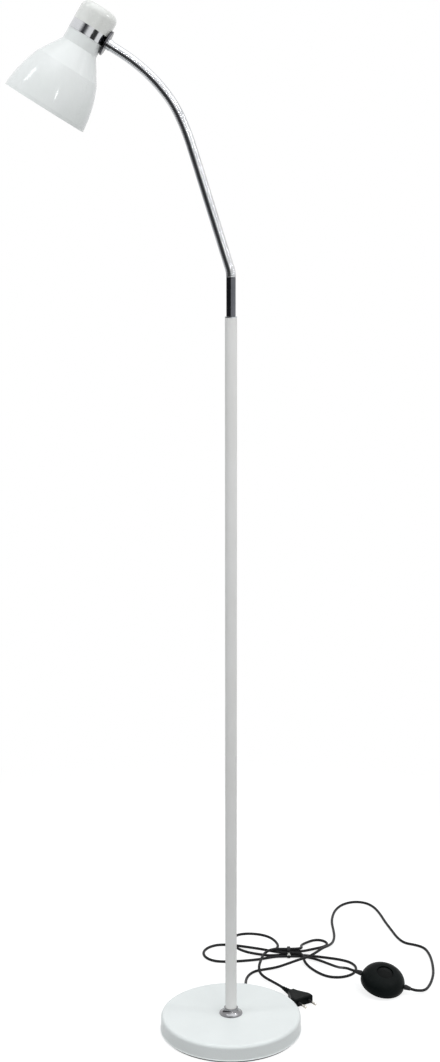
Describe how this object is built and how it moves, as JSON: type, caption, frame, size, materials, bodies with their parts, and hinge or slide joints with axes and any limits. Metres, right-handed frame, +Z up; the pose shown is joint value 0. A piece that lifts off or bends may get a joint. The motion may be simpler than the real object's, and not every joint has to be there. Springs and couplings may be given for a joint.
{
  "type": "gooseneck floor lamp",
  "caption": "Floor-standing reading lamp: round weighted base, slim pole, bendable gooseneck and bell shade, with a foot switch on its mains cord.",
  "frame": {"origin": "centre of the round base, on the floor", "axes": "+Z up, +Y towards the back where the mains cord leaves the base, the head reaches towards -X"},
  "size_m": [0.6365, 0.5807, 1.4894],
  "materials": {
    "white_enamel": "smooth gloss white powder coat",
    "white_cap": "moulded gloss white",
    "chrome": "bright chrome plate",
    "zinc_steel": "zinc plated steel",
    "iron_weight": "raw casting, hidden in the base",
    "rubber_pad": "matt foam rubber",
    "black_plastic": "fine textured black moulding",
    "soft_black": "soft black sleeve",
    "black_cord": "satin black cord sheath",
    "brass": "bright pressed brass",
    "nickel": "nickel plated pin",
    "switch_insert": "moulded switch body",
    "tie_plastic": "pale plastic twist tie"
  },
  "bodies": {
    "stand": {"base_collar": "chrome", "base_nut": "zinc_steel", "base_pad": "rubber_pad", "base_pan": "white_enamel", "base_stud": "zinc_steel", "base_washer": "zinc_steel", "base_weight": "iron_weight", "cord_base_to_switch": "black_cord", "cord_gland": "soft_black", "cord_hank": "black_cord", "cord_hank_to_plug": "black_cord", "cord_switch_to_hank": "black_cord", "cord_tie": "tie_plastic", "gooseneck_root": "chrome", "gooseneck_sleeve": "chrome", "plug_body": "black_plastic", "plug_pin_sleeves": "black_plastic", "plug_pins": "nickel", "pole_coupling": "zinc_steel", "pole_foot_insert": "zinc_steel", "pole_lower": "white_enamel", "pole_top_insert": "zinc_steel", "pole_upper": "white_enamel", "switch_base": "black_plastic", "switch_cover": "black_plastic", "switch_grommet_lamp": "soft_black", "switch_grommet_mains": "soft_black", "switch_module": "switch_insert", "switch_screws": "zinc_steel", "switch_spring": "zinc_steel"},
    "hose_1": {"gooseneck_length_1": "chrome"},
    "hose_2": {"gooseneck_length_2": "chrome"},
    "hose_3": {"gooseneck_length_3": "chrome"},
    "hose_4": {"gooseneck_length_4": "chrome"},
    "hose_5": {"gooseneck_length_5": "chrome"},
    "hose_6": {"gooseneck_length_6": "chrome"},
    "hose_7": {"gooseneck_length_7": "chrome"},
    "hose_8": {"gooseneck_length_8": "chrome"},
    "head": {"gooseneck_end": "chrome", "hose_end_ferrule": "chrome", "head_flange": "chrome", "hose_nipple": "zinc_steel", "nipple_nut": "zinc_steel", "head_ring": "chrome", "shade": "white_enamel", "shade_nut": "black_plastic", "lampholder": "black_plastic", "lampholder_shell": "brass", "lampholder_contact": "brass", "lampholder_cap": "white_cap", "cap_screws": "zinc_steel"},
    "switch_button": {"switch_button": "black_plastic"}
  },
  "joints": [
    {"name": "hose_bend_1", "type": "hinge", "parent": "stand", "child": "hose_1", "pos_m": [0, 0, 1.1272], "axis": [0, 1, 0], "range_deg": [-10.5, 45.5]},
    {"name": "hose_sideways_2", "type": "hinge", "parent": "hose_1", "child": "hose_2", "pos_m": [-0.01203, 0, 1.16535], "axis": [0.9537, 0, 0.3007], "range_deg": [-28, 28]},
    {"name": "hose_bend_3", "type": "hinge", "parent": "hose_2", "child": "hose_3", "pos_m": [-0.02406, 0, 1.2035], "axis": [0, 1, 0], "range_deg": [-28, 28]},
    {"name": "hose_sideways_4", "type": "hinge", "parent": "hose_3", "child": "hose_4", "pos_m": [-0.03608, 0, 1.24165], "axis": [0.9537, 0, 0.3007], "range_deg": [-28, 28]},
    {"name": "hose_bend_5", "type": "hinge", "parent": "hose_4", "child": "hose_5", "pos_m": [-0.04811, 0, 1.2798], "axis": [0, 1, 0], "range_deg": [-27.5, 27.5]},
    {"name": "hose_sideways_6", "type": "hinge", "parent": "hose_5", "child": "hose_6", "pos_m": [-0.06047, 0, 1.31784], "axis": [0.9304, 0, 0.3665], "range_deg": [-27, 27]},
    {"name": "hose_bend_7", "type": "hinge", "parent": "hose_6", "child": "hose_7", "pos_m": [-0.07738, 0, 1.35409], "axis": [0, 1, 0], "range_deg": [-14, 42]},
    {"name": "hose_sideways_8", "type": "hinge", "parent": "hose_7", "child": "hose_8", "pos_m": [-0.10255, 0, 1.38518], "axis": [0.7193, 0, 0.6947], "range_deg": [-26, 26]},
    {"name": "hose_bend_9", "type": "hinge", "parent": "hose_8", "child": "head", "pos_m": [-0.13274, 0, 1.41142], "axis": [0, 1, 0], "range_deg": [-18.8, 37.2]},
    {"name": "foot_button", "type": "slide", "parent": "stand", "child": "switch_button", "axis": [-0.1564, 0.3134, -0.9366], "range_m": [0, 0.003], "stiffness_N_per_m": 3000, "springref_m": -0.001, "deforming": ["switch_spring"]}
  ]
}
